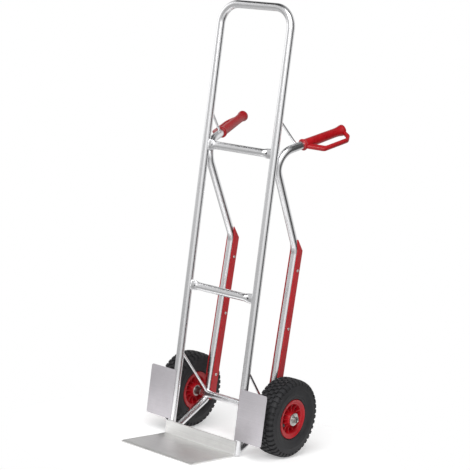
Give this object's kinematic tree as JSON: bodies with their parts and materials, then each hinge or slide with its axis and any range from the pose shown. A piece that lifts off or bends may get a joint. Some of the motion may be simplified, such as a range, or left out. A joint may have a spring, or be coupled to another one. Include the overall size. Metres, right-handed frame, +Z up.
{
  "type": "hand truck",
  "caption": "Upright aluminium hand truck with a tall loop frame, red grips with knuckle guards, stair skids, wheel guards, a toe plate and pneumatic tyres.",
  "frame": {"origin": "centre of the bounding box's foot, on the floor under the truck standing upright", "axes": "+X to the side of the right wheel as seen from behind, -Y the way the toe plate points, +Z up"},
  "size_m": [0.519, 0.514, 1.455],
  "materials": {
    "tube_aluminium": "bright drawn tube",
    "sheet_aluminium": "mill finish sheet",
    "red_plastic": "moulded, satin",
    "tyre_rubber": "matt",
    "butyl_rubber": "matt",
    "zinc_plated_steel": "zinc plated",
    "black_plastic": "moulded"
  },
  "bodies": {
    "frame": {"main_loop_tube": "tube_aluminium", "upper_cross_tube": "tube_aluminium", "lower_cross_tube": "tube_aluminium", "axle_tube": "tube_aluminium", "axle_rod": "zinc_plated_steel", "toe_plate": "sheet_aluminium", "rear_tube_left": "tube_aluminium", "skid_left": "red_plastic", "grip_left": "red_plastic", "handle_brace_left": "tube_aluminium", "axle_strut_left": "tube_aluminium", "wheel_guard_left": "sheet_aluminium", "axle_spacer_left": "zinc_plated_steel", "axle_washer_left": "zinc_plated_steel", "cotter_pin_left": "zinc_plated_steel", "skid_rivet_left_1": "zinc_plated_steel", "skid_rivet_left_2": "zinc_plated_steel", "skid_rivet_left_3": "zinc_plated_steel", "rear_tube_right": "tube_aluminium", "skid_right": "red_plastic", "grip_right": "red_plastic", "handle_brace_right": "tube_aluminium", "axle_strut_right": "tube_aluminium", "wheel_guard_right": "sheet_aluminium", "axle_spacer_right": "zinc_plated_steel", "axle_washer_right": "zinc_plated_steel", "cotter_pin_right": "zinc_plated_steel", "skid_rivet_right_1": "zinc_plated_steel", "skid_rivet_right_2": "zinc_plated_steel", "skid_rivet_right_3": "zinc_plated_steel"},
    "wheel_left": {"tyre_left": "tyre_rubber", "inner_tube_left": "butyl_rubber", "valve_cap_left": "black_plastic", "rim_outer_left": "red_plastic", "rim_inner_left": "red_plastic", "hub_sleeve_left": "zinc_plated_steel", "roller_bearing_left": "zinc_plated_steel", "rim_bolt_left_1": "zinc_plated_steel", "rim_bolt_left_2": "zinc_plated_steel", "rim_bolt_left_3": "zinc_plated_steel", "rim_bolt_left_4": "zinc_plated_steel"},
    "wheel_right": {"tyre_right": "tyre_rubber", "inner_tube_right": "butyl_rubber", "valve_cap_right": "black_plastic", "rim_outer_right": "red_plastic", "rim_inner_right": "red_plastic", "hub_sleeve_right": "zinc_plated_steel", "roller_bearing_right": "zinc_plated_steel", "rim_bolt_right_1": "zinc_plated_steel", "rim_bolt_right_2": "zinc_plated_steel", "rim_bolt_right_3": "zinc_plated_steel", "rim_bolt_right_4": "zinc_plated_steel"}
  },
  "joints": [
    {"name": "wheel_left_spin", "type": "hinge", "parent": "frame", "child": "wheel_left", "pos_m": [-0.2074, 0.127, 0.13], "axis": [1, 0, 0], "continuous": true},
    {"name": "wheel_right_spin", "type": "hinge", "parent": "frame", "child": "wheel_right", "pos_m": [0.2074, 0.127, 0.13], "axis": [1, 0, 0], "continuous": true}
  ]
}
